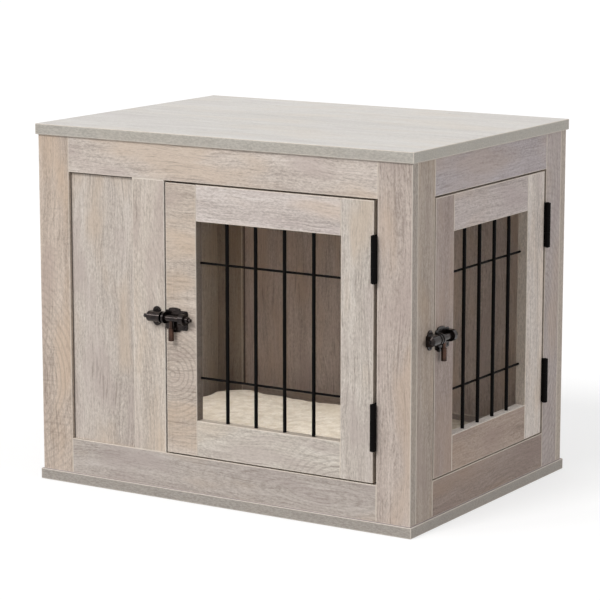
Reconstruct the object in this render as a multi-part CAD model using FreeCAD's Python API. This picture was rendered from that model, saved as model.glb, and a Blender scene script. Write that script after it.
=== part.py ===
# A dog crate end table: a cabinet of framed boards with a flat top, a cushion on its floor, and two
# barred doors, one in the front and one in the right side. Each door hangs on two butt hinges and is
# held by a barrel bolt, whose keeper stands on the frame beside the door.
#
# Frame: +Z up, the front faces -Y and the barred side door faces +X. The origin is the centre of the
# base's underside, so the floor is Z = 0. Sizes are millimetres.
#
# Each of the four faces is drawn flat, in its own axes: u runs along the face, w points outwards
# with w = 0 on the outer surface, and z is the height. A placement then turns the face about Z.
import FreeCAD, Part
import math
import os

Vector = FreeCAD.Vector

# ---------------------------------------------------------------- driving dimensions
body_width = 604.0
body_depth = 442.0
total_height = 512.0
overhang = 3.0                  # the top and the base stand this far past the body all round
top_thickness = 15.0
base_thickness = 15.0
frame_thickness = 15.0          # every stile and rail, doors included
arris = 0.5                     # the broken edge of each board
cut_past = 1.0                  # a bore's cutter runs this far past each end

front_stile_width = 52.0
side_stile_width = 45.0         # with the front frame's edge beside it, a 60 mm corner post
back_stile_width = 60.0
frame_rail_height = 50.0
fixed_panel_width = 109.0       # the clear width of the recessed panel left of the front door
middle_stile_width = 53.0

panel_thickness = 5.0
groove_depth = 8.0
panel_play = 0.8                # between a panel's edge and the bottom of its groove
tenon_thickness = 5.0
tenon_length = 8.0
tenon_shoulder = 10.0           # from a rail's long edge to its tenon
joint_play = 0.1                # round a tenon or a panel, on each side

front_door_stile_width = 50.0
side_door_stile_width = 50.0
door_rail_height = 50.0
strike_gap = 2.5                # beside the free edge of a door
hinge_gap = 5.5
door_top_gap = 2.5
door_bottom_gap = 2.0

bar_diameter = 5.0
bar_count = 4
bar_socket_depth = 9.0
bar_socket_play = 0.15          # on the radius
wire_diameter = 3.2
wire_from_window_edge = 58.5

hinge_height = 63.0
hinge_from_door_end = 45.0
knuckle_diameter = 8.0
knuckle_count = 3
knuckle_gap = 0.3
knuckle_stand_off = 4.5         # from the face to the hinge axis
pin_diameter = 4.0
pin_play = 0.06                 # on the radius
pin_end_proud = 0.8             # the pin past the last knuckle, above and below
leaf_thickness = 1.2
leaf_depth = 12.5
leaf_into_knuckle = 1.8

latch_height = 258.0            # of the bolt's axis above the floor
bolt_stand_off = 7.0            # from the face to the bolt's axis
plate_drop = 2.8                # the plate's middle below the bolt's axis
plate_length = 36.0
plate_height = 27.0
plate_thickness = 1.6
plate_corner_radius = 2.5
plate_setback = 0.3             # from the door's free edge to the plate and the front guide
lobe_length = 20.0              # of the swelling above and below the plate
lobe_rise = 3.6
lobe_shoulder = 1.4             # how far a lobe's first slope runs along the plate
lobe_shoulder_rise = 2.5
lobe_from_front = 14.5          # from the plate's front end to the middle of its lobes
guide_diameter = 16.0
front_guide_length = 3.0
rear_guide_length = 7.5
rear_guide_setback = 0.5        # from the plate's rear end
bolt_diameter = 8.8
bolt_play = 0.08                # on the radius, in the guides
bolt_length = 45.0
bolt_travel = 6.5
bolt_tip_setback = 0.5          # the drawn bolt's tip, inside the door's free edge
bolt_nub_diameter = 5.0
bolt_nub_length = 3.8
handle_gap = 0.3                # between the handle's stem and the front guide with the bolt shot
handle_stem_diameter = 5.2
handle_stem_play = 0.05         # on the radius, in the bolt's cross hole
handle_stem_depth = 1.0         # the stem's end, above the bolt's axis
handle_stem_drop = 14.0         # from the bolt's axis to the top of the knob
handle_knob_diameter = 7.8
handle_drop = 31.5              # from the bolt's axis to the end of the knob

keeper_length = 24.0
keeper_bore_diameter = 11.8
keeper_bore_depth = 13.0
keeper_waist_diameter = 14.2
keeper_rim_length = 2.6
keeper_strap_width = 13.0
keeper_shoulder_length = 2.6    # the cone between the waist and the neck
keeper_neck_diameter = 4.0      # the small end of that cone
keeper_nub_diameter = 5.6
keeper_nub_length = 4.8

cushion_gap = 6.0               # between the cushion and the walls
cushion_height = 46.0           # at the crown
cushion_side_pull = 5.0         # how far each side draws in between its corners
cushion_corner_radius = 28.0
# Each step up the cushion: (share of its height, how far its outline stands in from the fullest).
cushion_steps = ((0.0, 8.0), (0.3, 0.0), (0.7, 1.5), (0.92, 10.0), (1.0, 24.0))

# ---------------------------------------------------------------- derived places
frame_low = base_thickness
frame_high = total_height - top_thickness
opening_low = frame_low + frame_rail_height
opening_high = frame_high - frame_rail_height
side_depth = body_depth - 2 * frame_thickness
corner_post = side_stile_width + frame_thickness
front_doorway = body_width - 2 * front_stile_width - fixed_panel_width - middle_stile_width
side_doorway = body_depth - 2 * corner_post
mid_depth = -frame_thickness / 2
wire_depth = mid_depth - (bar_diameter + wire_diameter) / 2
knuckle_pitch = hinge_height / knuckle_count

along = Vector(1, 0, 0)
outwards = Vector(0, 1, 0)
up = Vector(0, 0, 1)


def turn(angle, x, y):
    """The placement that turns a face drawn in (u, w, z) about Z and moves it to (x, y)."""
    return FreeCAD.Placement(Vector(x, y, 0), FreeCAD.Rotation(up, angle))


# Where each face's u = 0 lies, and which way the face looks.
front_face = turn(180, body_width / 2, -body_depth / 2)
back_face = turn(0, -body_width / 2, body_depth / 2)
right_face = turn(-90, body_width / 2, side_depth / 2)
left_face = turn(90, -body_width / 2, -side_depth / 2)
# A doorway's own axes start at the frame's edge on the hinge side, with u towards the keeper.
front_door_place = turn(180, body_width / 2 - front_stile_width, -body_depth / 2)
side_door_place = turn(-90, body_width / 2, side_doorway / 2)

nodes = {}


def placed(shape, placement):
    """A copy of a shape drawn on a face, turned into its place."""
    turned_copy = shape.copy()
    turned_copy.Placement = placement.multiply(turned_copy.Placement)
    return turned_copy


def add(name, shape, placement=FreeCAD.Placement()):
    """Keep one named piece, turned into place when it was drawn on a face."""
    nodes[name] = placed(shape, placement)


# ---------------------------------------------------------------- small building blocks
def block(u_low, u_high, w_low, w_high, z_low, z_high):
    """A plain rectangular block between two corners."""
    size = (u_high - u_low, w_high - w_low, z_high - z_low)
    return Part.makeBox(*size, Vector(u_low, w_low, z_low))


def board(u_low, u_high, z_low, z_high, w_low=-frame_thickness, w_high=0):
    """A board: a block whose twelve edges are broken by a small chamfer."""
    solid = block(u_low, u_high, w_low, w_high, z_low, z_high)
    return solid.makeChamfer(arris, solid.Edges)


def rod(diameter, length, start, direction):
    """A round rod from a point along a direction."""
    return Part.makeCylinder(diameter / 2, length, start, direction)


def arc_middle(radius):
    """How far the middle of a rounded square corner stands in from both of its sides."""
    return radius * (1 - math.sqrt(0.5))


def turned(profile, start, direction):
    """A lathe-turned solid from (distance along the axis, radius) points, which start and end on
    the axis."""
    points = [Vector(distance, radius, 0) for distance, radius in profile]
    outline = Part.makePolygon(points + points[:1])
    solid = Part.Face(outline).revolve(Vector(0, 0, 0), along, 360)
    solid.Placement = FreeCAD.Placement(start, FreeCAD.Rotation(along, direction))
    return solid


# ---------------------------------------------------------------- joinery of the frames
tenon_low = mid_depth - tenon_thickness / 2
tenon_high = mid_depth + tenon_thickness / 2
carcase_rails = ((frame_low, opening_low), (opening_high, frame_high))


def rail(u_low, u_high, z_low, z_high):
    """A rail between two stiles, with a stub tenon on each end."""
    tenon = block(
        u_low - tenon_length, u_high + tenon_length, tenon_low, tenon_high,
        z_low + tenon_shoulder, z_high - tenon_shoulder,
    )
    return board(u_low, u_high, z_low, z_high).fuse(tenon).removeSplitter()


def rail_mortises(u_edge, side, rails):
    """The sockets for the tenons of some rails in a stile whose edge is at u_edge. side is +1 when
    the stile lies past that edge, and -1 when it lies before it."""
    ends = sorted((u_edge - side * arris, u_edge + side * (tenon_length + joint_play)))
    return [
        block(
            *ends, tenon_low - joint_play, tenon_high + joint_play,
            z_low + tenon_shoulder - joint_play, z_high - tenon_shoulder + joint_play,
        )
        for z_low, z_high in rails
    ]


def panel_groove(u_low, u_high):
    """The groove round a recessed panel's opening, let into the members on all four sides."""
    half = panel_thickness / 2 + joint_play
    return block(
        u_low - groove_depth, u_high + groove_depth, mid_depth - half, mid_depth + half,
        opening_low - groove_depth, opening_high + groove_depth,
    )


def recessed_panel(u_low, u_high):
    """A thin panel that fills an opening and runs into the groove round it."""
    reach = groove_depth - panel_play
    half = panel_thickness / 2
    return block(
        u_low - reach, u_high + reach, mid_depth - half, mid_depth + half,
        opening_low - reach, opening_high + reach,
    )


def stile(u_low, u_high, cuts):
    """A stile of a carcase frame, as high as the frame, less its mortises and grooves."""
    return board(u_low, u_high, frame_low, frame_high).cut(cuts)


def add_carcase_frame(prefix, width, stile_width, place, stile_words, with_panel):
    """The two stiles and two rails of one face, and the recessed panel where it has one."""
    inner_low = stile_width
    inner_high = width - stile_width
    grooves = [panel_groove(inner_low, inner_high)] if with_panel else []
    low_cuts = rail_mortises(inner_low, -1, carcase_rails) + grooves
    high_cuts = rail_mortises(inner_high, 1, carcase_rails) + grooves
    add(f"{prefix}_{stile_words[0]}_stile", stile(0, inner_low, low_cuts), place)
    add(f"{prefix}_{stile_words[1]}_stile", stile(inner_high, width, high_cuts), place)
    for word, limits in zip(("bottom", "top"), carcase_rails):
        solid = rail(inner_low, inner_high, *limits)
        add(f"{prefix}_{word}_rail", solid.cut(grooves) if grooves else solid, place)
    if with_panel:
        add(prefix + "_panel", recessed_panel(inner_low, inner_high), place)


def add_front_frame():
    """The front frame, drawn from its right end to its left: the doorway, a middle stile between
    the rails, and the narrow fixed panel."""
    right_inner = front_stile_width
    left_inner = body_width - front_stile_width
    middle_low = right_inner + front_doorway
    middle_high = middle_low + middle_stile_width
    groove = panel_groove(middle_high, left_inner)
    middle_limits = (middle_low + tenon_shoulder, middle_high - tenon_shoulder)
    middle_tenons = block(
        *middle_limits, tenon_low, tenon_high,
        opening_low - tenon_length, opening_high + tenon_length,
    )
    middle_mortises = block(
        middle_limits[0] - joint_play, middle_limits[1] + joint_play,
        tenon_low - joint_play, tenon_high + joint_play,
        opening_low - tenon_length - joint_play, opening_high + tenon_length + joint_play,
    )
    middle = board(middle_low, middle_high, opening_low, opening_high)
    middle = middle.fuse(middle_tenons).removeSplitter().cut(groove)
    right_cuts = rail_mortises(right_inner, -1, carcase_rails)
    left_cuts = rail_mortises(left_inner, 1, carcase_rails) + [groove]
    add("front_right_stile", stile(0, right_inner, right_cuts), front_face)
    add("front_left_stile", stile(left_inner, body_width, left_cuts), front_face)
    add("front_middle_stile", middle, front_face)
    for word, limits in zip(("bottom", "top"), carcase_rails):
        solid = rail(right_inner, left_inner, *limits).cut([groove, middle_mortises])
        add(f"front_{word}_rail", solid, front_face)
    add("front_fixed_panel", recessed_panel(middle_high, left_inner), front_face)


# ---------------------------------------------------------------- hinges
def knuckles(z_low, first):
    """Every other knuckle of one hinge from number first, as (lower end, upper end, ring)."""
    centre = Vector(hinge_gap / 2, knuckle_stand_off, 0)
    rings = []
    for number in range(first, knuckle_count, 2):
        low = z_low + number * knuckle_pitch
        high = low + knuckle_pitch
        if number > 0:
            low += knuckle_gap / 2
        if number < knuckle_count - 1:
            high -= knuckle_gap / 2
        rings.append((low, high, rod(knuckle_diameter, high - low, centre + up * low, up)))
    return rings


def hinge_leaf(z_low, first, u_low):
    """One leaf of a butt hinge: a plate in the gap, swaged into its own knuckles."""
    u_high = u_low + leaf_thickness
    solid = block(u_low, u_high, -leaf_depth, 0, z_low, z_low + hinge_height)
    for low, high, ring in knuckles(z_low, first):
        neck = block(u_low, u_high, 0, leaf_into_knuckle, low, high)
        solid = solid.fuse([ring, neck])
    bore = rod(
        pin_diameter + 2 * pin_play, hinge_height + 2 * cut_past,
        Vector(hinge_gap / 2, knuckle_stand_off, z_low - cut_past), up,
    )
    return solid.removeSplitter().cut(bore)


def hinge_pin(z_low):
    """The pin through all the knuckles of one hinge."""
    start = Vector(hinge_gap / 2, knuckle_stand_off, z_low - pin_end_proud)
    return rod(pin_diameter, hinge_height + 2 * pin_end_proud, start, up)


# ---------------------------------------------------------------- barrel bolts
def plate_outline(front_u):
    """The bolt plate's outline: a rounded rectangle with a shouldered lobe above and below."""
    rear_u = front_u - plate_length
    half = plate_height / 2
    radius = plate_corner_radius
    sweep = arc_middle(radius)
    lobe_u = front_u - lobe_from_front
    lobe = lobe_length / 2
    crown = lobe - lobe_shoulder
    shoulder = half + lobe_shoulder_rise

    def point(u, height):
        return Vector(u, 0, latch_height - plate_drop + height)

    upper = [
        Part.makeLine(point(rear_u, 0), point(rear_u, half - radius)),
        Part.Arc(
            point(rear_u, half - radius), point(rear_u + sweep, half - sweep),
            point(rear_u + radius, half),
        ).toShape(),
        Part.makeLine(point(rear_u + radius, half), point(lobe_u - lobe, half)),
        Part.makeLine(point(lobe_u - lobe, half), point(lobe_u - crown, shoulder)),
        Part.Arc(
            point(lobe_u - crown, shoulder), point(lobe_u, half + lobe_rise),
            point(lobe_u + crown, shoulder),
        ).toShape(),
        Part.makeLine(point(lobe_u + crown, shoulder), point(lobe_u + lobe, half)),
        Part.makeLine(point(lobe_u + lobe, half), point(front_u - radius, half)),
        Part.Arc(
            point(front_u - radius, half), point(front_u - sweep, half - sweep),
            point(front_u, half - radius),
        ).toShape(),
        Part.makeLine(point(front_u, half - radius), point(front_u, 0)),
    ]
    lower = [edge.mirror(point(front_u, 0), up) for edge in reversed(upper)]
    return Part.Wire(upper + lower)


def arch(u_low, length, diameter, w_low):
    """A round-backed arch over the bolt's path, on a foot as wide that stands at depth w_low,
    without its bore."""
    half = diameter / 2
    limits = (latch_height - half, latch_height + half)
    back = rod(diameter, length, Vector(u_low, bolt_stand_off, latch_height), along)
    back = back.common(block(u_low, u_low + length, bolt_stand_off, bolt_stand_off + half, *limits))
    foot = block(u_low, u_low + length, w_low, bolt_stand_off, *limits)
    return back.fuse(foot).removeSplitter()


def latch_plate(free_edge):
    """The bolt's plate and its two guides, cast in one piece."""
    front_u = free_edge - plate_setback
    rear_u = front_u - plate_length
    plate = Part.Face(plate_outline(front_u)).extrude(outwards * plate_thickness)
    inside_plate = plate_thickness / 2
    guides = [
        arch(front_u - front_guide_length, front_guide_length, guide_diameter, inside_plate),
        arch(rear_u + rear_guide_setback, rear_guide_length, guide_diameter, inside_plate),
    ]
    bore = rod(
        bolt_diameter + 2 * bolt_play, plate_length + 2 * cut_past,
        Vector(rear_u - cut_past, bolt_stand_off, latch_height), along,
    )
    return plate.fuse(guides).removeSplitter().cut(bore)


def handle_middle(free_edge):
    """The handle's place along the face with the bolt drawn: the bolt's travel short of the
    front guide."""
    guide_rear = free_edge - plate_setback - front_guide_length
    return guide_rear - handle_gap - bolt_travel - handle_stem_diameter / 2


def latch_bolt(free_edge):
    """The sliding bolt: a blunt round rod with a small nub on its rear end and a blind cross hole
    from below for the handle's stem."""
    radius = bolt_diameter / 2
    nub = bolt_nub_diameter / 2
    profile = [
        (0, 0), (0, nub), (bolt_nub_length, nub), (bolt_nub_length, radius),
        (bolt_length, radius), (bolt_length, 0),
    ]
    rear_u = free_edge - bolt_tip_setback - bolt_length
    hole_top = latch_height + handle_stem_depth + handle_stem_play
    hole = rod(
        handle_stem_diameter + 2 * handle_stem_play, handle_stem_depth + radius + cut_past,
        Vector(handle_middle(free_edge), bolt_stand_off, hole_top), -up,
    )
    return turned(profile, Vector(rear_u, bolt_stand_off, latch_height), along).cut(hole)


def latch_handle(free_edge):
    """The handle: a stem set in the bolt from below, and a plain hanging knob."""
    stem = handle_stem_diameter / 2
    knob = handle_knob_diameter / 2
    stem_end = Vector(
        handle_middle(free_edge), bolt_stand_off, latch_height + handle_stem_depth,
    )
    knob_top = handle_stem_depth + handle_stem_drop
    knob_end = handle_stem_depth + handle_drop
    profile = [(0, 0), (0, stem), (knob_top, stem), (knob_top, knob), (knob_end, knob), (knob_end, 0)]
    return turned(profile, stem_end, -up)


def keeper(frame_edge):
    """The keeper: a turned barrel with a blind socket for the bolt and a nub on its closed end, on
    an upright strap with rounded ends."""
    mouth = frame_edge + plate_setback
    middle = mouth + keeper_length / 2
    rim = guide_diameter / 2
    waist = keeper_waist_diameter / 2
    neck = keeper_neck_diameter / 2
    nub = keeper_nub_diameter / 2
    nub_end = keeper_length + keeper_nub_length
    barrel = turned(
        [
            (0, 0), (0, rim), (keeper_rim_length, rim), (keeper_rim_length, waist),
            (keeper_length - keeper_shoulder_length, waist), (keeper_length, neck),
            (keeper_length, nub), (nub_end, nub), (nub_end, 0),
        ],
        Vector(mouth, bolt_stand_off, latch_height), along,
    )
    backing = block(
        mouth, mouth + nub_end, -rim, 0, latch_height - rim, latch_height + rim,
    )
    half = keeper_strap_width / 2
    reach = plate_height / 2 - half
    strap = block(
        middle - half, middle + half, 0, plate_thickness,
        latch_height - reach, latch_height + reach,
    )
    ends = [
        rod(keeper_strap_width, plate_thickness,
            Vector(middle, 0, latch_height + side * reach), outwards)
        for side in (-1, 1)
    ]
    foot = block(
        mouth, mouth + keeper_length - keeper_shoulder_length, 0, bolt_stand_off,
        latch_height - waist, latch_height + waist,
    )
    socket = rod(
        keeper_bore_diameter, keeper_bore_depth + cut_past,
        Vector(mouth - cut_past, bolt_stand_off, latch_height), along,
    )
    return barrel.fuse([strap, foot, *ends]).removeSplitter().cut([socket, backing])


# ---------------------------------------------------------------- a barred door
door_low = opening_low + door_bottom_gap
door_high = opening_high - door_top_gap
window_low = door_low + door_rail_height
window_high = door_high - door_rail_height
door_rails = ((door_low, window_low), (window_high, door_high))
wire_heights = (window_low + wire_from_window_edge, window_high - wire_from_window_edge)
hinge_lows = (door_low + hinge_from_door_end, door_high - hinge_from_door_end - hinge_height)


def door_stile(u_low, u_high, cuts):
    """A stile of a door, as high as the door, less its mortises."""
    return board(u_low, u_high, door_low, door_high).cut(cuts)


def window_bars(window_near, window_far, play, extra):
    """The upright bars of a window, or with some play the sockets that they fill."""
    spacing = (window_far - window_near) / (bar_count + 1)
    low = window_low - bar_socket_depth - extra
    high = window_high + bar_socket_depth + extra
    return [
        rod(bar_diameter + 2 * play, high - low,
            Vector(window_near + spacing * (number + 1), mid_depth, low), up)
        for number in range(bar_count)
    ]


def add_door(prefix, doorway, stile_width, place):
    """Every piece of one door, and the hinges and the barrel bolt at its edges. Returns the keeper,
    because the two keepers are alike and stand on the same cabinet."""
    hinge_edge = hinge_gap
    free_edge = doorway - strike_gap
    window_near = hinge_edge + stile_width
    window_far = free_edge - stile_width
    sockets = window_bars(window_near, window_far, bar_socket_play, joint_play)
    near_stile = door_stile(hinge_edge, window_near, rail_mortises(window_near, -1, door_rails))
    far_stile = door_stile(window_far, free_edge, rail_mortises(window_far, 1, door_rails))
    add(prefix + "_door_hinge_stile", near_stile, place)
    add(prefix + "_door_latch_stile", far_stile, place)
    for word, limits in zip(("bottom", "top"), door_rails):
        solid = rail(window_near, window_far, *limits).cut(sockets)
        add(f"{prefix}_door_{word}_rail", solid, place)
    bars = window_bars(window_near, window_far, 0, 0)
    wires = [
        rod(wire_diameter, window_far - window_near, Vector(window_near, wire_depth, z), along)
        for z in wire_heights
    ]
    add(prefix + "_door_bars", Part.makeCompound(bars), place)
    add(prefix + "_door_cross_wires", Part.makeCompound(wires), place)

    door_leaf_u = hinge_edge - leaf_thickness
    frame_leaves = [hinge_leaf(low, 0, 0) for low in hinge_lows]
    door_leaves = [hinge_leaf(low, 1, door_leaf_u) for low in hinge_lows]
    add(prefix + "_hinge_frame_leaves", Part.makeCompound(frame_leaves), place)
    add(prefix + "_hinge_door_leaves", Part.makeCompound(door_leaves), place)
    add(prefix + "_hinge_pins", Part.makeCompound([hinge_pin(low) for low in hinge_lows]), place)

    add(prefix + "_latch_plate", latch_plate(free_edge), place)
    add(prefix + "_latch_bolt", latch_bolt(free_edge), place)
    add(prefix + "_latch_handle", latch_handle(free_edge), place)
    return placed(keeper(doorway), place)


# ---------------------------------------------------------------- the cushion
def cushion_outline(half_x, half_y, z, radius):
    """A closed outline at height z: four sides that draw in between four rounded corners."""
    sweep = arc_middle(radius)
    corners = []
    for x_sign, y_sign in ((1, 1), (-1, 1), (-1, -1), (1, -1)):
        beside_x = Vector(x_sign * half_x, y_sign * (half_y - radius), z)
        beside_y = Vector(x_sign * (half_x - radius), y_sign * half_y, z)
        middle = Vector(x_sign * (half_x - sweep), y_sign * (half_y - sweep), z)
        ends = (beside_x, beside_y) if x_sign * y_sign > 0 else (beside_y, beside_x)
        corners.append((ends[0], middle, ends[1]))
    edges = []
    for number, (start, middle, end) in enumerate(corners):
        following = corners[(number + 1) % len(corners)][0]
        halfway = (end + following) * 0.5
        inwards = Vector(-halfway.x, -halfway.y, 0).normalize()
        edges.append(Part.Arc(start, middle, end).toShape())
        edges.append(Part.Arc(end, halfway + inwards * cushion_side_pull, following).toShape())
    return Part.Wire(edges)


def cushion():
    """A crowned pad: flat where it rests, fullest below its middle, rounded up to its crown."""
    half_x = body_width / 2 - frame_thickness - cushion_gap
    half_y = body_depth / 2 - frame_thickness - cushion_gap
    outlines = [
        cushion_outline(
            half_x - inset, half_y - inset, base_thickness + share * cushion_height,
            cushion_corner_radius,
        )
        for share, inset in cushion_steps
    ]
    return Part.makeLoft(outlines, True, True)


# ---------------------------------------------------------------- the whole table
top_limits = (-body_width / 2 - overhang, body_width / 2 + overhang)
depth_limits = (-body_depth / 2 - overhang, body_depth / 2 + overhang)
add("top_panel", board(*top_limits, frame_high, total_height, *depth_limits))
add("base_panel", board(*top_limits, 0, base_thickness, *depth_limits))
add("cushion", cushion())
add_front_frame()
add_carcase_frame("back", body_width, back_stile_width, back_face, ("left", "right"), True)
add_carcase_frame("left", side_depth, side_stile_width, left_face, ("front", "rear"), True)
add_carcase_frame("right", side_depth, side_stile_width, right_face, ("rear", "front"), False)
keepers = [
    add_door("front", front_doorway, front_door_stile_width, front_door_place),
    add_door("side", side_doorway, side_door_stile_width, side_door_place),
]
add("latch_keepers", Part.makeCompound(keepers))

os.makedirs("parts", exist_ok=True)
for name, shape in nodes.items():
    count = len(shape.Solids)
    print(f"{name}: {count} solid(s), {shape.Volume / 1000:.2f} cm3, valid {shape.isValid()}")
    shape.exportStep(f"parts/{name}.step")
print(len(nodes), "nodes")
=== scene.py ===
# The looks of a dog crate end table: greywashed boards, black painted bars and hinges, dark bronze
# barrel bolts and a plush cushion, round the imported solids. Metres, +Z up. The front door faces -Y
# and the side door +X. Sizes given in millimetres are turned to metres by the one factor MM.
import math

import bpy
import numpy as np
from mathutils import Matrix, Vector


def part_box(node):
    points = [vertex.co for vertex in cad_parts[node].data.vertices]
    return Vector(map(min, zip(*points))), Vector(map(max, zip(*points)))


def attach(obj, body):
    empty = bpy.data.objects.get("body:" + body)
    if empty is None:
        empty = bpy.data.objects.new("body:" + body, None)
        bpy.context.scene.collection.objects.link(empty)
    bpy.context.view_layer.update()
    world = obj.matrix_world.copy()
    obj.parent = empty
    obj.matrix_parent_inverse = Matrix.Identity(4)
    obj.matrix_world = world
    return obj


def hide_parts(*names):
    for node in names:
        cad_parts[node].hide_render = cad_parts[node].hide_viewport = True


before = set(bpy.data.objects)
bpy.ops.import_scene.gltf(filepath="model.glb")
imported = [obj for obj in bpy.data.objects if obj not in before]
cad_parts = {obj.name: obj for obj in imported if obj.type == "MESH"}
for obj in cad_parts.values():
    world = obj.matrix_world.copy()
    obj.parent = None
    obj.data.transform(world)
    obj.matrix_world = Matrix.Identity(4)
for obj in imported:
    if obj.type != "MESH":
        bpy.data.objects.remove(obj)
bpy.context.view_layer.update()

scene = bpy.context.scene

MM = 0.001
PIXELS = 600                  # the photograph is square
SENSOR = 36.0                 # mm, the camera's sensor


# ---------------------------------------------------------------- small helpers
def linear(colour):
    """An sRGB colour, written as #RRGGBB, as linear red, green, blue and an alpha of 1."""
    parts = np.array([int(colour[place:place + 2], 16) for place in (1, 3, 5)]) / 255
    curve = np.where(parts <= 0.04045, parts / 12.92, ((parts + 0.055) / 1.055) ** 2.4)
    return (*curve.tolist(), 1.0)


def shaded(colour, *factors):
    """A linear colour times one factor, or one each for red, green and blue."""
    factors = factors * (3 if len(factors) == 1 else 1)
    return (*(min(part * factor, 1.0) for part, factor in zip(colour, factors)), 1.0)


def add(tree, kind, inputs=None, stops=(), **settings):
    """Adds a node. settings are its attributes. inputs maps the name or number of an input to a
    value, to a socket, or to a node, which stands for its first output in use. stops are the
    (position, colour) pairs of a colour ramp, its two ends first."""
    made = tree.nodes.new(kind)
    for name, value in settings.items():
        setattr(made, name, value)
    for key, value in (inputs or {}).items():
        if isinstance(key, int):
            socket = made.inputs[key]
        else:
            socket = next(each for each in made.inputs if each.enabled and each.name == key)
        if isinstance(value, bpy.types.Node):
            value = next(each for each in value.outputs if each.enabled)
        if isinstance(value, bpy.types.NodeSocket):
            tree.links.new(value, socket)
        else:
            socket.default_value = value
    for number, (position, colour) in enumerate(stops):
        elements = made.color_ramp.elements
        stop = elements[number] if number < 2 else elements.new(position)
        stop.position = position
        stop.color = colour
    return made


def new_material(name):
    """A material with no nodes yet, and its node tree."""
    material = bpy.data.materials.new(name)
    material.use_nodes = True
    material.node_tree.nodes.clear()
    return material, material.node_tree


# ---------------------------------------------------------------- wood
# Each board's axes for its pattern: along the grain, across it, and through the board.
FRONT_UPRIGHT, FRONT_LEVEL = "ZXY", "XZY"
SIDE_UPRIGHT, SIDE_LEVEL = "ZYX", "YZX"
FLAT = "XYZ"
TENON = 8.0 * MM              # a rail's box reaches this far into the stiles beside it
PANEL_REACH = 7.2 * MM        # a panel's box reaches this far into the grooves round it

EDGE_GREY = "#A8A297"         # the banding on the top board
EDGE_BEIGE = "#B8AB9D"        # the banding on the frames and doors
LIMED_AND_HIGHLIGHT = "#EDE3D6"             # the light along an arris: rubbed white wear together with a painted highlight of the lit arris
GRAIN_BROWN = "#75675E"       # pores, growth lines and saw marks
PAINTED_SHADOW_BROWN = "#4A403B"        # painted shadow: the dark line where the frame shades a panel along its left and upper edges
# how softly the painted shadow line fades
PAINTED_SHADOW_BLUR = 0.7 * MM
BANDING = (0.3 * MM, 0.6 * MM)    # the depths between which the banded edge gives way to the face
ARRIS = (0.5 * MM, 1.6 * MM)      # the depths between which the light arris, rubbed wear with a painted highlight, fades

DRIFT = (160, 60, 60)         # mm, the size of the slow drift along, across and through a board
DRIFT_BEND = (0.0, 26 * MM, 14 * MM)    # how far it moves the finer patterns
RING_OFFSET = 8               # mm, about how far it moves the middle of the growth rings

# The foil's patterns: length along the grain and width across it in mm, detail and roughness.
PATTERNS = {
    "streak": (95, 2.3, 5.0, 0.7),
    "band": (330, 22, 2.0, 0.5),
    "pore": (14, 1.8, 2.0, 0.6),
    "line": (60, 2.6, 1.0, 0.5),
    "fleck": (5, 2.0, 3.0, 0.7),
    "blush": (150, 50, 2.0, 0.5),
    "saw": (2.7, 60, 1.0, 0.5),
    "patch": (80, 34, 2.0, 0.5),
}


def foil_patterns(tree, grain, seed):
    """One board's noise patterns, drawn out along its grain, and the bent coordinates they share.
    A slow drift bends them all, as the log's growth does."""
    drift = add(tree, "ShaderNodeTexNoise", {
        "Vector": add(tree, "ShaderNodeMapping", {
            "Vector": grain, "Location": (seed, seed * 0.7, 3.0),
            "Scale": tuple(1 / (size * MM) for size in DRIFT),
        }),
        "Scale": 1.0, "Detail": 2.0,
    })
    bent = add(tree, "ShaderNodeVectorMath", {
        0: drift.outputs["Color"], 1: DRIFT_BEND, 2: grain,
    }, operation="MULTIPLY_ADD")
    patterns = {}
    for label, (length, width, detail, roughness) in PATTERNS.items():
        patterns[label] = add(tree, "ShaderNodeTexNoise", {
            "Vector": add(tree, "ShaderNodeMapping", {
                "Vector": bent, "Location": (seed * 1.3 + length, seed * 2.1, width),
                "Scale": (1 / (length * MM), 1 / (width * MM), 1 / (width * MM)),
            }),
            "Scale": 1.0, "Detail": detail, "Roughness": roughness,
        })
    return bent, patterns


def growth_rings(tree, bent, patterns, swirl):
    """The strength of growth lines round a point: a sine of the distance to it, which fades from a
    third of its reach and is broken up by the streaks. swirl is (centre along, centre across,
    spacing, squeeze, reach, strength), lengths in mm. squeeze draws the rings out along the
    grain."""
    centre_along, centre_across, spacing, squeeze, reach, strength = swirl
    away = add(tree, "ShaderNodeMapping", {
        "Vector": bent,
        "Location": (-centre_along * MM * squeeze, -(centre_across + RING_OFFSET) * MM, 0.0),
        "Scale": (squeeze, 1.0, 0.0),
    })
    distance = add(tree, "ShaderNodeVectorMath", {0: away}, operation="LENGTH").outputs["Value"]
    wander = add(tree, "ShaderNodeMath", {0: patterns["blush"], 1: 9.0}, operation="MULTIPLY")
    turns = add(tree, "ShaderNodeMath", {
        0: distance, 1: math.tau / (spacing * MM), 2: wander,
    }, operation="MULTIPLY_ADD")
    fade = add(tree, "ShaderNodeMapRange", {
        "Value": distance, "From Min": 0.35 * reach * MM, "From Max": reach * MM,
        "To Min": strength, "To Max": 0.0,
    })
    crest = add(tree, "ShaderNodeMapRange", {
        "Value": add(tree, "ShaderNodeMath", {0: turns}, operation="SINE"),
        "From Min": 0.1, "From Max": 1.0, "To Max": fade,
    })
    breaks = add(tree, "ShaderNodeMapRange", {
        "Value": patterns["streak"], "From Min": 0.3, "From Max": 0.6, "To Min": 0.25,
    })
    return add(tree, "ShaderNodeMath", {0: crest, 1: breaks}, operation="MULTIPLY")


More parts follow.
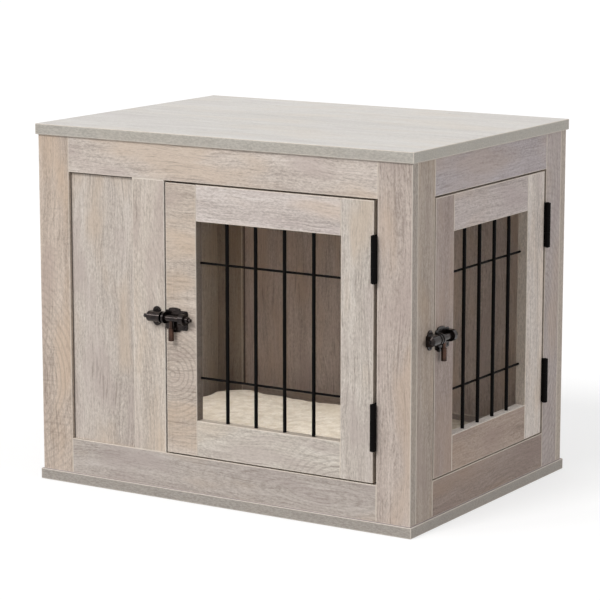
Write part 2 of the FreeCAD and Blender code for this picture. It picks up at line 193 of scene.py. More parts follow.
def panel_painted_shadow(tree, parts, low, high, width):
    """The strength of a painted shadow: a dark line along a panel's left and upper edges, where the
    frame shades the recess.
    """
    left = add(tree, "ShaderNodeMath", {0: parts.outputs["X"], 1: low[0]}, operation="SUBTRACT")
    upper = add(tree, "ShaderNodeMath", {0: high[2], 1: parts.outputs["Z"]}, operation="SUBTRACT")
    line_end = PANEL_REACH + width * MM
    return add(tree, "ShaderNodeMapRange", {
        "Value": add(tree, "ShaderNodeMath", {0: left, 1: upper}, operation="MINIMUM"),
        "From Min": line_end, "From Max": line_end + PAINTED_SHADOW_BLUR, "To Min": 0.85, "To Max": 0.0,
    })


def board_edges(tree, place, axes, low, high):
    """The strengths of the banded edges and of the light arrises, which stand for rubbed wear and a
    painted highlight. A point's depth under a pair of faces is half the board's size less the
    distance to its middle. The banding covers the edges along and across the grain, and the middle
    one of the three depths is small near an arris."""
    off_middle = add(tree, "ShaderNodeVectorMath", {
        0: place, 1: tuple((low + high) / 2),
    }, operation="SUBTRACT")
    inside = add(tree, "ShaderNodeVectorMath", {
        0: add(tree, "ShaderNodeVectorMath", {0: off_middle}, operation="ABSOLUTE"),
        1: (-1.0, -1.0, -1.0), 2: tuple((high - low) / 2),
    }, operation="MULTIPLY_ADD")
    depth = add(tree, "ShaderNodeSeparateXYZ", {0: inside})
    end, rim, face = (depth.outputs[axis] for axis in axes)
    nearest = add(tree, "ShaderNodeMath", {0: end, 1: rim}, operation="MINIMUM")
    further = add(tree, "ShaderNodeMath", {0: end, 1: rim}, operation="MAXIMUM")
    to_arris = add(tree, "ShaderNodeMath", {
        0: nearest, 1: add(tree, "ShaderNodeMath", {0: further, 1: face}, operation="MINIMUM"),
    }, operation="MAXIMUM")
    return (
        add(tree, "ShaderNodeMapRange", {
            "Value": value, "From Min": start, "From Max": fade_end, "To Min": strength,
            "To Max": 0.0,
        })
        for value, (start, fade_end), strength in (
            (nearest, BANDING, 0.7), (to_arris, ARRIS, 0.5),
        )
    )


def greywashed_board(name, axes, tone, seed, box, edge=EDGE_BEIGE, swirl=None, saw=0.0, painted_shadow=0.0,
                     contrast=1.0):
    """Greywashed oak foil, pressed and rubbed. It reads as fine streaks of one beige tone under a
    pale wash, with short dark pores, a few growth lines and saw marks, and light arrises that are
    rubbed wear with a painted highlight.
    saw is the strength of the saw marks. The painted shadow setting is the width in mm of a dark
    line of painted shadow along a panel's left and upper edges. contrast scales the streaks.
    growth_rings explains swirl."""
    material, tree = new_material(name)
    low, high = box
    middle, brown, band = linear(tone), linear(GRAIN_BROWN), linear(edge)
    place = add(tree, "ShaderNodeTexCoord").outputs["Object"]
    parts = add(tree, "ShaderNodeSeparateXYZ", {0: place})
    grain = add(tree, "ShaderNodeCombineXYZ", {i: parts.outputs[a] for i, a in enumerate(axes)})
    bent, patterns = foil_patterns(tree, grain, seed)

    # The wash: streaks, broad bands and flecks of one tone.
    bands = add(tree, "ShaderNodeMath", {0: patterns["band"], 1: 0.22}, operation="MULTIPLY")
    coarse = add(tree, "ShaderNodeMath", {
        0: patterns["streak"], 1: 0.36, 2: bands,
    }, operation="MULTIPLY_ADD")
    mixed = add(tree, "ShaderNodeMath", {
        0: patterns["fleck"], 1: 0.42, 2: coarse,
    }, operation="MULTIPLY_ADD")
    colour = add(tree, "ShaderNodeValToRGB", {"Fac": mixed}, stops=(
        (0.4, shaded(middle, *(1 - contrast * drop for drop in (0.3, 0.32, 0.32)))),
        (0.6, shaded(middle, *(1 + contrast * lift for lift in (0.22, 0.25, 0.28)))),
        (0.5, middle),
    ))

    # Each mask rises from 0 to its strength while its pattern goes from start to end.
    masks = {}
    for label, pattern, start, end, strength in (
        ("warm", "blush", 0.5, 0.66, 0.6 * contrast),
        ("cool", "blush", 0.46, 0.32, 0.6 * contrast),
        ("patches", "patch", 0.42, 0.62, 1.0),
        ("pores", "pore", 0.56, 0.72, 0.34 * contrast),
        ("lines", "line", 0.57, 0.7, 0.4 * contrast),
        ("saw_marks", "saw", 0.5, 0.7, saw),
        ("speckle", "fleck", 0.4, 0.6, 1.0),
    ):
        masks[label] = add(tree, "ShaderNodeMapRange", {
            "Value": patterns[pattern], "From Min": start, "From Max": end, "To Max": strength,
        })
    # Pores are short dark dashes. Lines are longer and fainter, and they come in patches, as the
    # saw marks do.
    lines, saw_marks = (
        add(tree, "ShaderNodeMath", {0: masks[label], 1: masks["patches"]}, operation="MULTIPLY")
        for label in ("lines", "saw_marks")
    )
    banding = add(tree, "ShaderNodeMix", {
        "Factor": masks["speckle"], "A": shaded(band, 0.82), "B": shaded(band, 1.16),
    }, data_type="RGBA")
    banded, rubbed = board_edges(tree, place, axes, low, high)

    # (strength, colour) of everything that lies over the wash, from the lowest layer up
    layers = [
        (masks["warm"], shaded(middle, 1.06, 0.97, 0.86)),
        (masks["cool"], shaded(middle, 0.88, 0.84, 0.87)),
        (masks["pores"], brown),
        (lines, brown),
    ]
    if saw:
        layers.append((saw_marks, brown))
    if swirl:
        layers.append((growth_rings(tree, bent, patterns, swirl), brown))
    # Painted shadow: a dark line along a panel's left and upper edges, where the frame shades it.
    if painted_shadow:
        layers.append((panel_painted_shadow(tree, parts, low, high, painted_shadow), linear(PAINTED_SHADOW_BROWN)))
    # The light arrises are rubbed wear together with a painted highlight.
    layers += [(banded, banding), (rubbed, linear(LIMED_AND_HIGHLIGHT))]
    for strength, layer in layers:
        colour = add(tree, "ShaderNodeMix", {
            "Factor": strength, "A": colour, "B": layer,
        }, data_type="RGBA")

    relief = add(tree, "ShaderNodeMath", {
        0: masks["pores"], 1: -1.0, 2: patterns["streak"],
    }, operation="MULTIPLY_ADD")
    bump = add(tree, "ShaderNodeBump", {
        "Height": relief, "Strength": 0.35, "Distance": 0.25 * MM,
    })
    gloss = add(tree, "ShaderNodeMapRange", {
        "Value": patterns["streak"], "From Min": 0.3, "From Max": 0.7,
        "To Min": 0.62, "To Max": 0.5,
    })
    shader = add(tree, "ShaderNodeBsdfPrincipled", {
        "Base Color": colour, "Roughness": gloss, "Normal": bump, "IOR": 1.48,
        "Specular IOR Level": 0.35,
    })
    add(tree, "ShaderNodeOutputMaterial", {"Surface": shader})
    return material


# (axes, tone, seed, further settings) of each board
BOARDS = {
    "top_panel": (FLAT, "#CDC9C4", 3.1, {"edge": EDGE_GREY, "contrast": 0.45}),
    "base_panel": (FLAT, "#A3999C", 4.7, {"edge": "#A29C90", "contrast": 0.7}),
    "front_left_stile": (
        FRONT_UPRIGHT, "#C6B6A8", 7.3, {"saw": 0.25, "swirl": (150, -322, 8.0, 0.8, 190, 0.3)},
    ),
    "front_right_stile": (FRONT_UPRIGHT, "#BEB0A6", 11.9, {"edge": "#9E958B"}),
    # Its pale edge colour is painted light, which lifts the shaded strike gap.
    "front_middle_stile": (
        FRONT_UPRIGHT, "#CBBFB3", 13.2,
        {"edge": "#F2EEE8", "swirl": (90, -330, 7.5, 0.7, 420, 0.24)},
    ),
    "front_bottom_rail": (
        FRONT_LEVEL, "#B7ADA5", 17.4, {"swirl": (160, 47, 5.5, 0.22, 60, 0.26)},
    ),
    "front_top_rail": (FRONT_LEVEL, "#CCC0B6", 19.8, {}),
    # The fixed panel carries a painted shadow line along its left and upper edges.
    "front_fixed_panel": (FRONT_UPRIGHT, "#C5BAB0", 23.5, {"painted_shadow": 1.6}),
    "back_left_stile": (FRONT_UPRIGHT, "#A3988C", 29.1, {}),
    "back_right_stile": (FRONT_UPRIGHT, "#A89D98", 31.6, {}),
    "back_bottom_rail": (FRONT_LEVEL, "#B9ADA4", 37.2, {}),
    "back_top_rail": (FRONT_LEVEL, "#BDB0A3", 41.7, {}),
    # The back panel carries a painted shadow line along its left and upper edges.
    "back_panel": (FRONT_UPRIGHT, "#C3B7B0", 43.9, {"painted_shadow": 2.5}),
    "left_front_stile": (SIDE_UPRIGHT, "#C4B4A6", 47.3, {}),
    "left_rear_stile": (SIDE_UPRIGHT, "#BBB1A6", 53.8, {}),
    "left_bottom_rail": (SIDE_LEVEL, "#B9ADA4", 59.2, {}),
    "left_top_rail": (SIDE_LEVEL, "#C4B4A6", 61.5, {}),
    "left_panel": (SIDE_UPRIGHT, "#DBC8C2", 67.1, {}),
    "right_rear_stile": (
        SIDE_UPRIGHT, "#B4A8A3", 71.4, {"swirl": (190, 140, 7.0, 0.7, 260, 0.3)},
    ),
    "right_front_stile": (SIDE_UPRIGHT, "#AB9D91", 73.9, {}),
    "right_bottom_rail": (
        SIDE_LEVEL, "#96857B", 79.3, {"swirl": (47, 8, 6.5, 0.4, 60, 0.42)},
    ),
    "right_top_rail": (SIDE_LEVEL, "#B1A7A7", 83.6, {}),
    "front_door_hinge_stile": (FRONT_UPRIGHT, "#C6BCB2", 89.2, {}),
    # Its dark edge colour is painted shade, for the shaded window reveal and strike gap.
    "front_door_latch_stile": (
        FRONT_LEVEL, "#C6B8AB", 97.5,
        {"saw": 0.15, "edge": "#5F544D", "swirl": (-76, 186, 7.4, 1.0, 105, 0.42)},
    ),
    "front_door_bottom_rail": (
        FRONT_LEVEL, "#CCC3B8", 101.3, {"swirl": (195, 40, 7.6, 0.9, 110, 0.42)},
    ),
    "front_door_top_rail": (FRONT_LEVEL, "#CDC2BB", 103.8, {}),
    "side_door_hinge_stile": (SIDE_UPRIGHT, "#D5CAC1", 107.2, {}),
    "side_door_latch_stile": (SIDE_UPRIGHT, "#A3938B", 109.9, {}),
    # Its pale edge colour is painted light on the window's sill, which lies in the stile's shadow.
    "side_door_bottom_rail": (SIDE_LEVEL, "#A69386", 113.4, {"edge": "#F2EAE4"}),
    "side_door_top_rail": (SIDE_LEVEL, "#C0B4AF", 127.1, {}),
}


def board_box(name, axes):
    """A board's box at rest without the tenons that run into its neighbours."""
    low, high = (np.array(corner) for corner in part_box(name))
    if name.endswith("_rail") or name == "front_middle_stile":
        along = "XYZ".index(axes[0])
        low[along] += TENON
        high[along] -= TENON
    return low, high


def dress(name, material):
    """Gives a solid its better finish."""
    for material_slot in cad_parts[name].material_slots:
        material_slot.link = "OBJECT"
        material_slot.material = material


for board, (axes, tone, seed, more) in BOARDS.items():
    finish = greywashed_board(
        "greywashed_" + board, axes, tone, seed, board_box(board, axes), **more,
    )
    dress(board, finish)


# ---------------------------------------------------------------- metal
def painted_steel():
    """Black satin powder paint on steel wire. The eye gets a near-black line with one soft gleam
    and a faint orange peel."""
    material, tree = new_material("black_satin_paint")
    place = add(tree, "ShaderNodeTexCoord").outputs["Object"]
    peel = add(tree, "ShaderNodeTexNoise", {
        "Vector": place, "Scale": 1 / (1.6 * MM), "Detail": 2.0,
    })
    dust = add(tree, "ShaderNodeTexNoise", {
        "Vector": place, "Scale": 1 / (40 * MM), "Detail": 3.0,
    })
    ramp = add(tree, "ShaderNodeValToRGB", {"Fac": dust}, stops=(
        (0.35, linear("#050404")), (0.7, linear("#0C0A0A")),
    ))
    gloss = add(tree, "ShaderNodeMapRange", {"Value": dust, "To Min": 0.5, "To Max": 0.68})
    bump = add(tree, "ShaderNodeBump", {
        "Height": peel, "Strength": 0.25, "Distance": 0.08 * MM,
    })
    shader = add(tree, "ShaderNodeBsdfPrincipled", {
        "Base Color": ramp, "Roughness": gloss, "Normal": bump, "IOR": 1.5,
        "Specular IOR Level": 0.06,
    })
    add(tree, "ShaderNodeOutputMaterial", {"Surface": shader})
    return material


def rubbed_bronze(name, dark, rubbed):
    """Die-cast zinc with an oil-rubbed bronze finish: nearly black, brown where fingers polish it,
    with small cast hollows that break up the gleam."""
    material, tree = new_material(name)
    place = add(tree, "ShaderNodeTexCoord").outputs["Object"]
    cast = add(tree, "ShaderNodeTexNoise", {
        "Vector": place, "Scale": 1 / (2.4 * MM), "Detail": 3.0,
    })
    rub = add(tree, "ShaderNodeTexNoise", {
        "Vector": place, "Scale": 1 / (9 * MM), "Detail": 2.0,
    })
    ramp = add(tree, "ShaderNodeValToRGB", {"Fac": rub}, stops=(
        (0.42, linear(dark)), (0.68, linear(rubbed)),
    ))
    gloss = add(tree, "ShaderNodeMapRange", {"Value": cast, "To Min": 0.16, "To Max": 0.32})
    bump = add(tree, "ShaderNodeBump", {
        "Height": cast, "Strength": 0.2, "Distance": 0.12 * MM,
    })
    shader = add(tree, "ShaderNodeBsdfPrincipled", {
        "Base Color": ramp, "Roughness": gloss, "Normal": bump, "Metallic": 0.85,
        "Coat Weight": 0.15, "Coat Roughness": 0.12,
    })
    add(tree, "ShaderNodeOutputMaterial", {"Surface": shader})
    return material


black_paint = painted_steel()
bronze = rubbed_bronze("oil_rubbed_bronze", "#211B1A", "#362D2A")
brown_bronze = rubbed_bronze("brown_bronze", "#33231C", "#533A2E")

for prefix in ("front", "side"):
    for part in (
        "door_bars", "door_cross_wires", "hinge_frame_leaves", "hinge_door_leaves", "hinge_pins",
    ):
        dress(f"{prefix}_{part}", black_paint)
    for part in ("latch_plate", "latch_bolt"):
        dress(f"{prefix}_{part}", bronze)
    dress(prefix + "_latch_handle", brown_bronze)
dress("latch_keepers", bronze)


# ---------------------------------------------------------------- surfaces
def closed_rings(rings):
    """One closed surface through rings of points, given as (rings, sides, 3). Neighbouring rings
    are joined by quads, and the first and last by a fan round the mean of each."""
    count, sides = rings.shape[:2]
    index = np.arange(count * sides).reshape(count, sides)
    following = np.roll(index, -1, axis=1)
    quads = np.stack([index[:-1], following[:-1], following[1:], index[1:]], axis=-1)
    start = np.full(sides, count * sides)
    fans = np.concatenate([
        np.stack([following[0], index[0], start], axis=-1),
        np.stack([index[-1], following[-1], start + 1], axis=-1),
    ])
    points = np.concatenate([rings.reshape(-1, 3), rings[[0, -1]].mean(axis=1)])
    return points, quads.reshape(-1, 4), fans


def repeated(points, quads, fans, places):
    """Copies of a shape drawn round +Z, one at each (origin, outward axis, upward axis)."""
    origins, axes, ups = (np.array(column, float) for column in zip(*places))
    bases = np.stack([np.cross(ups, axes), ups, axes], axis=1)
    copies = np.einsum("vi,nij->nvj", points, bases) + origins[:, None]
    steps = np.arange(len(places))[:, None, None] * len(points)
    return (
        copies.reshape(-1, 3), (quads + steps).reshape(-1, 4), (fans + steps).reshape(-1, 3),
    )


def piece(name, points, quads, fans, material, body, slot):
    """A smooth mesh piece that rides on a body."""
    mesh = bpy.data.meshes.new(name)
    mesh.from_pydata(points.tolist(), [], quads.tolist() + fans.tolist())
    mesh.shade_smooth()
    mesh.materials.append(material)
    made = bpy.data.objects.new(name, mesh)
    scene.collection.objects.link(made)
    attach(made, body)
    return made


def screw_head(radius, rise, sunk):
    """A screw's head with a cross recess. Height over (r, angle): a flat dome that falls as the
    sixth power of r, less a cross whose arms fade at their sides and ends. The rim drops by
    sunk."""
    sides = 48
    shares = np.array([0.1, 0.2, 0.3, 0.4, 0.5, 0.6, 0.7, 0.82, 0.92, 0.98, 1.0])[:, None]
    angle = np.linspace(0, math.tau, sides, endpoint=False)[None, :]
    x, y = shares * np.cos(angle), shares * np.sin(angle)

    def arm(across, lengthways):
        """One bar of the cross: 1 in its middle, 0 past its sides and ends."""
        sides_fade = np.clip((0.17 - abs(across)) / 0.06, 0, 1)
        return sides_fade * np.clip((0.66 - abs(lengthways)) / 0.1, 0, 1)

    recess = np.maximum(arm(x, y), arm(y, x))
    height = rise * (1 - shares ** 6) - recess * rise * 0.9
    top = np.stack([x * radius, y * radius, height], axis=-1)
    skirt = np.stack([x[-1] * radius, y[-1] * radius, np.full(sides, -sunk)], axis=-1)
    return closed_rings(np.concatenate([top, skirt[None], skirt[None] * (0.5, 0.5, 1)])[::-1])


def weld_bead(radius, length):
    """A small weld: a ball drawn out along X, with two slow waves round it from the pool."""
    sides = 16
    rise = np.linspace(-0.46 * math.pi, 0.46 * math.pi, 9)[:, None]
    angle = np.linspace(0, math.tau, sides, endpoint=False)[None, :]
    swell = 1 + 0.1 * np.sin(3 * angle + 2 * rise)
    rings = np.stack([
        length * np.cos(rise) * np.cos(angle) * swell,
        radius * np.cos(rise) * np.sin(angle) * swell,
        radius * np.sin(rise) * np.ones_like(angle),
    ], axis=-1)
    return closed_rings(rings)


# ---------------------------------------------------------------- screws and welds
UP = (0, 0, 1)
# Each door's outward axis and the axis along its face, from the hinges towards the keeper.
DOORS = {"front": ((0, -1, 0), (-1, 0, 0)), "side": ((1, 0, 0), (0, -1, 0))}
PLATE_THICKNESS = 1.6 * MM
LATCH_HEIGHT = 258 * MM       # of the bolts' axes
PLATE_MIDDLE = LATCH_HEIGHT - 2.8 * MM    # the plate's lobes lie round a middle below the bolt
# (distance from the plate's front end, height over its middle) of the screws of a bolt plate
PLATE_SCREWS = ((14.5 * MM, 12.4 * MM), (14.5 * MM, -12.4 * MM), (31.7 * MM, -9.8 * MM))
KEEPER_SCREW_RISE = 10.3 * MM
KEEPER_MIDDLE = 15.1 * MM     # from the plate's front end to the middle of the keeper
HINGE_HEIGHT = 63 * MM
LEAF_SCREW_HEIGHTS = (10.5 * MM, 31.5 * MM, 52.5 * MM)
LEAF_SCREW_DEPTH = 6.5 * MM
LEAF_THICKNESS = 1.2 * MM
# (radius, rise of the head, how far its rim is sunk) of the screws
LATCH_SCREW = (1.75 * MM, 0.55 * MM, 0.3 * MM)
LEAF_SCREW = (2.2 * MM, 0.35 * MM, 0.2 * MM)
HINGE_STILES = {"front": "front_right_stile", "side": "right_rear_stile"}
BAR_RADIUS = 2.5 * MM
WIRE_RADIUS = 1.6 * MM
WELD_RADIUS, WELD_LENGTH = 1.5 * MM, 2.6 * MM


def latch_point(prefix, from_front, height):
    """A point on the outer face of a latch: so far from the front end of the bolt plate, which is
    its end at the keeper. A point past that end has a negative distance."""
    out, along = (np.array(axis, float) for axis in DOORS[prefix])
    low, high = (np.array(corner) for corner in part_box(prefix + "_latch_plate"))
    front_end = np.where(along < 0, low, high) * abs(along)
    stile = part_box(prefix + "_door_hinge_stile")
    door_face = np.array(stile[1 if out.sum() > 0 else 0]) * abs(out)
    point = front_end - along * from_front + door_face + out * PLATE_THICKNESS
    return (*point[:2], height)


for prefix, (out, along) in DOORS.items():
    run = abs(np.array(along))
    plate_screws = [
        (latch_point(prefix, from_front, PLATE_MIDDLE + rise), out, UP)
        for from_front, rise in PLATE_SCREWS
    ]
    piece(
        prefix + "_latch_plate_screws", *repeated(*screw_head(*LATCH_SCREW), plate_screws),
        bronze, prefix + "_door", "black_bronze",
    )

    # A leaf's open face looks across the hinge gap, and its screws go in from there.
    leaves_low, leaves_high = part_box(prefix + "_hinge_frame_leaves")
    heights = [
        low + step for low in (leaves_low[2], leaves_high[2] - HINGE_HEIGHT)
        for step in LEAF_SCREW_HEIGHTS
    ]
    stile_low, stile_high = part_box(prefix + "_door_hinge_stile")
    face = np.array(stile_high if sum(out) > 0 else stile_low) * abs(np.array(out))
    inward = face - np.array(out) * LEAF_SCREW_DEPTH
    frame_edge = np.array(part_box(HINGE_STILES[prefix])[0]) * run
    door_edge = np.array(stile_high) * run
    for leaf, flat, axis, body in (
        ("frame", frame_edge - run * LEAF_THICKNESS, np.array(along), "cabinet"),
        ("door", door_edge + run * LEAF_THICKNESS, -np.array(along), prefix + "_door"),
    ):
        screws = [((*(flat + inward)[:2], height), tuple(axis), UP) for height in heights]
        piece(
            f"{prefix}_hinge_{leaf}_leaf_screws", *repeated(*screw_head(*LEAF_SCREW), screws),
            black_paint, body, "black_steel",
        )

    bars_low, bars_high = (np.array(corner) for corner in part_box(prefix + "_door_bars"))
    wires_low, wires_high = (np.array(corner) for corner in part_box(prefix + "_door_cross_wires"))
    first = (bars_low * run).sum() + BAR_RADIUS
    last = (bars_high * run).sum() - BAR_RADIUS
    behind = (bars_low if sum(out) > 0 else bars_high) * abs(np.array(out))
    welds = []
    for share in np.linspace(0, 1, 4):
        for height in (wires_low[2] + WIRE_RADIUS, wires_high[2] - WIRE_RADIUS):
            point = run * (first + (last - first) * share) + behind
            welds.append(((*point[:2], height), out, UP))
    piece(
        prefix + "_door_welds", *repeated(*weld_bead(WELD_RADIUS, WELD_LENGTH), welds),
        black_paint, prefix + "_door", "black_steel",
    )

# The strap of each keeper: two screws, above and below the barrel.
keeper_screws = []
for prefix, (out, _) in DOORS.items():
    for side in (-1, 1):
        origin = latch_point(prefix, -KEEPER_MIDDLE, LATCH_HEIGHT + side * KEEPER_SCREW_RISE)
        keeper_screws.append((origin, out, UP))
piece(
    "latch_keeper_screws", *repeated(*screw_head(*LATCH_SCREW), keeper_screws),
    bronze, "cabinet", "black_bronze",
)


# ---------------------------------------------------------------- cushion
def plush_fabric():
    """Short sherpa plush: cream curls about 3 mm across that scatter light, with painted shade in
    the hollows between them, and a soft sheen."""
    material, tree = new_material("sherpa_plush")
    place = add(tree, "ShaderNodeTexCoord").outputs["Object"]
    curl = add(tree, "ShaderNodeTexVoronoi", {
        "Vector": place, "Scale": 1 / (3.2 * MM), "Randomness": 1.0,
    })
    tuft = add(tree, "ShaderNodeTexNoise", {
        "Vector": place, "Scale": 1 / (14 * MM), "Detail": 4.0, "Roughness": 0.6,
    })
    cloud = add(tree, "ShaderNodeTexNoise", {
        "Vector": place, "Scale": 1 / (70 * MM), "Detail": 2.0,
    })
    ramp = add(tree, "ShaderNodeValToRGB", {"Fac": tuft}, stops=(
        (0.32, linear("#C0B5A5")), (0.62, linear("#DCD4C7")),
    ))
    warm = add(tree, "ShaderNodeMapRange", {
        "Value": cloud, "From Min": 0.48, "From Max": 0.7, "To Max": 0.5,
    })
    colour = add(tree, "ShaderNodeMix", {
        "Factor": warm, "A": ramp, "B": linear("#CCC0AD"),
    }, data_type="RGBA")
    # Painted shade: the hollows between the curls are darker and browner.
    hollow_shade = add(tree, "ShaderNodeMapRange", {
        "Value": curl.outputs["Distance"], "From Min": 0.4, "From Max": 0.9, "To Max": 0.35,
    })
    colour = add(tree, "ShaderNodeMix", {
        "Factor": hollow_shade, "A": colour, "B": linear("#BBA582"),
    }, data_type="RGBA")
    height = add(tree, "ShaderNodeMath", {
        0: curl.outputs["Distance"], 1: -1.0, 2: tuft,
    }, operation="MULTIPLY_ADD")
    bump = add(tree, "ShaderNodeBump", {
        "Height": height, "Strength": 0.45, "Distance": 1.1 * MM,
    })
    shader = add(tree, "ShaderNodeBsdfPrincipled", {
        "Base Color": colour, "Roughness": 0.95, "Normal": bump, "IOR": 1.45,
        "Specular IOR Level": 0.2, "Sheen Weight": 0.2, "Sheen Roughness": 0.5,
        "Sheen Tint": linear("#FFF6E4"),
    })
    add(tree, "ShaderNodeOutputMaterial", {"Surface": shader})
    return material


CUSHION_LOW, CUSHION_HIGH = (np.array(corner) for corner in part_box("cushion"))
# The form before it is blown up stands this far inside the solid.
CUSHION_START = np.array((5, 5, 3)) * MM
PLAN_POWER, SECTION_POWER = 14, 3.4
SIDE_PULL, FRONT_PULL = 4 * MM, 5 * MM
VOXEL = 5.5 * MM
CLOTH_STEPS = 20
SWELL_CAP = 9 * MM            # no point of the cover moves further than this
PRESSURE = 4.0
REST_GAP = 0.3 * MM           # between the cushion and the base
# (direction in radians, wavelength in m, phase, depth in mm) of the waves across its top
WAVES = (
    (0.3, 0.16, 0.4, 1.3), (1.2, 0.11, 2.1, 0.9), (2.3, 0.075, 4.0, 0.6), (0.9, 0.045, 1.0, 0.4),
)


def cushion_form():
    """A flat pad. Plan: a superellipse with its sides drawn in by a cosine between the corners.
    Section: a superellipse of a lower power, which gives full round edges and a flat crown."""
    half = (CUSHION_HIGH - CUSHION_LOW) / 2 - CUSHION_START
    centre = (CUSHION_HIGH + CUSHION_LOW) / 2
    angle = np.linspace(0, math.tau, 240, endpoint=False)[None, :]
    rise = np.linspace(-0.498 * math.pi, 0.498 * math.pi, 60)[:, None]
    plan_x = np.sign(np.cos(angle)) * abs(np.cos(angle)) ** (2 / PLAN_POWER)
    plan_y = np.sign(np.sin(angle)) * abs(np.sin(angle)) ** (2 / PLAN_POWER)
    pull_x = SIDE_PULL * np.cos(plan_y * math.pi / 2)
    pull_y = FRONT_PULL * np.cos(plan_x * math.pi / 2)
    # The edge is as round as the pad is thick: only the outer band of the plan curves down.
    shrink = half[2] * (1 - np.cos(rise) ** (2 / SECTION_POWER))
    x = plan_x * np.maximum(half[0] - pull_x - shrink, 0)
    y = plan_y * np.maximum(half[1] - pull_y - shrink, 0)
    height = np.sign(np.sin(rise)) * abs(np.sin(rise)) ** (2 / SECTION_POWER) * half[2]
    rings = np.stack([x, y, height * np.ones_like(angle)], axis=-1)
    return closed_rings(rings + centre)


def apply_modifiers(made):
    """Turns what an object's modifiers make into its mesh."""
    graph = bpy.context.evaluated_depsgraph_get()
    mesh = bpy.data.meshes.new_from_object(made.evaluated_get(graph))
    made.modifiers.clear()
    made.data = mesh


def coordinates(mesh):
    """All points of a mesh as one array."""
    flat = np.empty(len(mesh.vertices) * 3)
    mesh.vertices.foreach_get("co", flat)
    return flat.reshape(-1, 3)


def folds(points):
    """Soft hollows of a used pad: the sum of slow sine waves from four fixed directions."""
    total = np.zeros(len(points))
    for turn, length, phase, depth in WAVES:
        way = points[:, 0] * math.cos(turn) + points[:, 1] * math.sin(turn)
        total += depth * np.sin(way * math.tau / length + phase)
    return total * MM


def make_cushion():
    """The cushion: its form remeshed, blown up as cloth, capped, and creased by slow folds."""
    made = piece("plush_cushion", *cushion_form(), plush_fabric(), "cabinet", "plush_fabric")
    remesh = made.modifiers.new("voxels", "REMESH")
    remesh.mode = "VOXEL"
    remesh.voxel_size = VOXEL
    apply_modifiers(made)
    start = coordinates(made.data)
    cloth = made.modifiers.new("cover", "CLOTH")
    cloth.settings.quality = 5
    cloth.settings.use_pressure = True
    cloth.settings.uniform_pressure_force = PRESSURE
    cloth.settings.effector_weights.gravity = 0
    for step in range(1, CLOTH_STEPS + 1):
        scene.frame_set(step)
    apply_modifiers(made)
    scene.frame_set(1)
    moved = coordinates(made.data) - start
    length = np.linalg.norm(moved, axis=1)[:, None]
    points = start + moved * np.minimum(1, SWELL_CAP / np.maximum(length, 1e-9))
    up_share = np.clip((points[:, 2] - CUSHION_LOW[2]) / (CUSHION_HIGH[2] - CUSHION_LOW[2]), 0, 1)
    points[:, 2] += folds(points) * up_share
    points[:, 2] = np.maximum(points[:, 2], CUSHION_LOW[2] + REST_GAP)
    made.data.vertices.foreach_set("co", points.ravel())
    subdivision = made.modifiers.new("finer", "SUBSURF")
    subdivision.levels = subdivision.render_levels = 1
    apply_modifiers(made)
    made.data.shade_smooth()
    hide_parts("cushion")


make_cushion()


# ---------------------------------------------------------------- floor, light and camera
FILL = 0.55                   # the even fill
FLOOR_GLOW = 0.6              # lifts what is seen of the floor to white
FLOOR_REACH = 12.0
FLOOR_DROP = 0.2 * MM         # keeps the floor's face off the base's
# (name, energy, angle in degrees, direction to it) of each sun
SUNS = (
    ("soft_sun", 1.6, 20, (-0.1, -0.45, 0.45)),
    ("left_gleam", 0.42, 14, (-0.52, -0.62, 0.5)),
    ("right_fill", 0.6, 30, (0.85, 0.05, 0.3)),
)
CABIN_LAMP_PLACE = (-0.09, 0, 0.492)
CABIN_LAMP_SIDE = 0.36
CABIN_LAMP_ENERGY = 0.35
CABIN_LAMP_SPREAD = 30        # degrees


def seen(tree):
    """1 where the camera looks, straight or by way of gloss or glass, and else 0."""
    path = add(tree, "ShaderNodeLightPath")
    bounced = add(tree, "ShaderNodeMath", {
        0: path.outputs["Is Glossy Ray"], 1: path.outputs["Is Transmission Ray"],
    }, operation="MAXIMUM")
    return add(tree, "ShaderNodeMath", {
        0: path.outputs["Is Camera Ray"], 1: bounced,
    }, operation="MAXIMUM")


def studio_floor():
    """A plain pale floor. What the camera sees of it is lifted to white, and its shade stays."""
    material, tree = new_material("pale_floor")
    diffuse = add(tree, "ShaderNodeBsdfDiffuse", {"Color": linear("#B0B0B0")})
    glow = add(tree, "ShaderNodeEmission", {
        "Strength": add(tree, "ShaderNodeMath", {
            0: seen(tree), 1: FLOOR_GLOW,
        }, operation="MULTIPLY"),
    })
    shader = add(tree, "ShaderNodeAddShader", {0: diffuse, 1: glow})
    add(tree, "ShaderNodeOutputMaterial", {"Surface": shader})
    mesh = bpy.data.meshes.new("floor")
    corners = [
        (x * FLOOR_REACH, y * FLOOR_REACH, -FLOOR_DROP)
        for x, y in ((-1, -1), (1, -1), (1, 1), (-1, 1))
    ]
    mesh.from_pydata(corners, [], [(0, 1, 2, 3)])
    mesh.materials.append(material)
    floor = bpy.data.objects.new("floor", mesh)
    scene.collection.objects.link(floor)


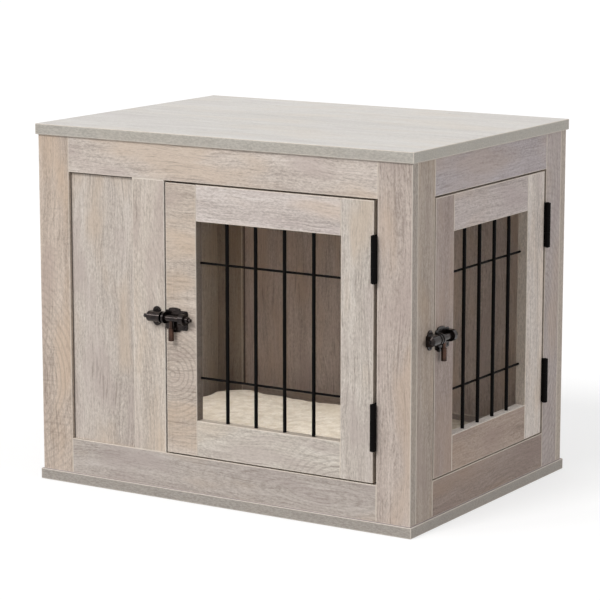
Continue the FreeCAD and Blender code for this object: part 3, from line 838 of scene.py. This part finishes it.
def studio_light():
    """A surround that is white to look at and fills evenly, three soft suns, and a lamp under the
    table top that opens up the cabin. The key sun stands at the front left, so that the right
    side is darker. The second lays a gleam along the level bolts, and the third lifts the right
    side."""
    world = bpy.data.worlds.new("studio")
    scene.world = world
    world.use_nodes = True
    tree = world.node_tree
    tree.nodes.clear()
    strength = add(tree, "ShaderNodeMath", {0: seen(tree), 1: FILL}, operation="MAXIMUM")
    surround = add(tree, "ShaderNodeBackground", {
        "Color": linear("#FFFFFF"), "Strength": strength,
    })
    add(tree, "ShaderNodeOutputWorld", {"Surface": surround})
    for name, energy, angle, towards in SUNS:
        sun = bpy.data.lights.new(name, "SUN")
        sun.energy = energy
        sun.angle = math.radians(angle)
        lamp = bpy.data.objects.new(name, sun)
        lamp.rotation_euler = Vector(towards).to_track_quat("Z", "Y").to_euler()
        scene.collection.objects.link(lamp)
    glow = bpy.data.lights.new("cabin_lamp", "AREA")
    glow.shape = "SQUARE"
    glow.size = CABIN_LAMP_SIDE
    glow.spread = math.radians(CABIN_LAMP_SPREAD)
    glow.energy = CABIN_LAMP_ENERGY
    lamp = bpy.data.objects.new("cabin_lamp", glow)
    lamp.location = CABIN_LAMP_PLACE
    lamp.visible_camera = False
    scene.collection.objects.link(lamp)


def photograph_camera():
    """The camera of the photograph: where it stands round the table, and its lens."""
    azimuth = math.radians(32.046)
    elevation = math.radians(10.518)
    distance = 3426.2 * MM
    focal_pixels = 2562.9
    target = Vector((120.5, -203.4, 298.8)) * MM
    away = Vector((
        math.sin(azimuth) * math.cos(elevation), -math.cos(azimuth) * math.cos(elevation),
        math.sin(elevation),
    ))
    data = bpy.data.cameras.new("camera")
    data.sensor_width = SENSOR
    data.lens = focal_pixels * SENSOR / PIXELS
    camera = bpy.data.objects.new("camera", data)
    camera.location = target + away * distance
    camera.rotation_euler = away.to_track_quat("Z", "Y").to_euler()
    scene.collection.objects.link(camera)
    scene.camera = camera


studio_floor()
studio_light()
photograph_camera()
scene.view_settings.view_transform = "Standard"
